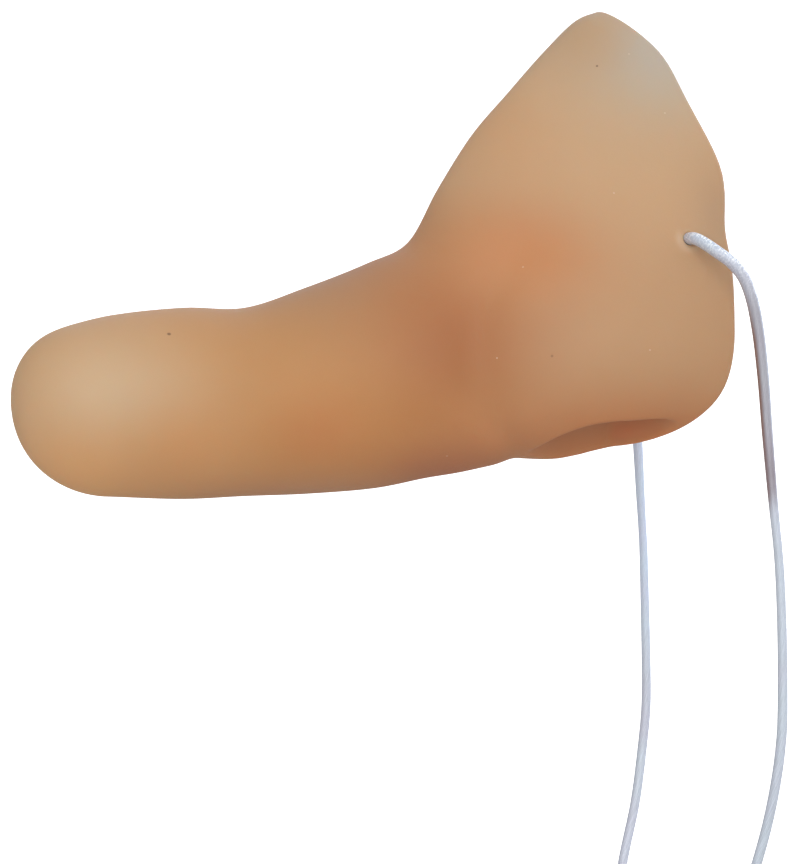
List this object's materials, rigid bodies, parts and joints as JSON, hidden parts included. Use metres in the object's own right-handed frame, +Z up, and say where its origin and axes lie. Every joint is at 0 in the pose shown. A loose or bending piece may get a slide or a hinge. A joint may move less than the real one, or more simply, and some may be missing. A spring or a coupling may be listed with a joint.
{
  "type": "costume nose",
  "caption": "Long hollow costume nose in soft flesh-coloured vinyl, open at the back, with nostrils below and a white round elastic through holes in its sides.",
  "frame": {"origin": "middle of the back opening, in the plane where the back edge meets the face, level with the elastic's holes", "axes": "+Z up, +Y out of the open back towards the wearer's face, so the nose points along -Y; left and right mirror each other in X"},
  "size_m": [0.071, 0.1274, 0.1864],
  "materials": {
    "skin_vinyl": "satin, slightly translucent, with a brown airbrushed tint in the creases",
    "elastic": "white thread wrapped round a rubber core"
  },
  "bodies": {
    "root": {"nose_shell": "skin_vinyl", "elastic_cord": "elastic", "knot_left": "elastic", "knot_right": "elastic"}
  },
  "joints": []
}
